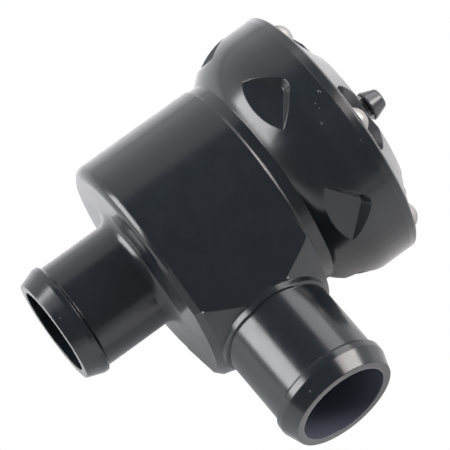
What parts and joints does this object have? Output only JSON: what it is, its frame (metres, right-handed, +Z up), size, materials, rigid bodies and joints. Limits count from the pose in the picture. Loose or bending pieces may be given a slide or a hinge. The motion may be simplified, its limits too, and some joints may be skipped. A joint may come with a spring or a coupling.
{
  "type": "blow off valve",
  "caption": "Black anodised blow off valve: beaded inlet and side outlet tubes, scalloped flared head, screwed coned lid with a barbed vacuum nipple, sprung plunger on a diaphragm inside",
  "frame": {"origin": "centre of the inlet tube's mouth", "axes": "+Z up the main axis from the inlet to the lid, +X along the side outlet, +Y completes the right-handed set"},
  "size_m": [0.083, 0.0598, 0.0871],
  "materials": {
    "body_black": "gloss black anodised",
    "lid_black": "gloss black anodised",
    "nipple_black": "gloss black anodised",
    "stainless": "bright",
    "washer_copper": "satin",
    "diaphragm_rubber": "matt",
    "seal_rubber": "matt",
    "plain_aluminium": "turned",
    "plain_steel": "turned",
    "bush_bronze": "satin",
    "spring_steel": "drawn wire"
  },
  "bodies": {
    "housing": {"valve_body": "body_black", "top_cap": "lid_black", "cap_screws": "stainless", "vacuum_nipple": "nipple_black", "nipple_washer": "washer_copper", "guide_bush": "bush_bronze", "diaphragm": "diaphragm_rubber", "return_spring": "spring_steel"},
    "plunger": {"valve_plunger": "plain_aluminium", "plunger_seal": "seal_rubber", "seal_retainer": "plain_steel", "seal_nut": "plain_steel", "guide_stem": "plain_steel", "diaphragm_plate": "plain_aluminium", "plate_screws": "stainless", "spring_seat": "plain_steel"}
  },
  "joints": [
    {"name": "valve_lift", "type": "slide", "parent": "housing", "child": "plunger", "axis": [0, 0, 1], "range_m": [0, 0.008], "stiffness_N_per_m": 1500, "springref_m": -0.01, "deforming": ["return_spring", "diaphragm"]}
  ]
}
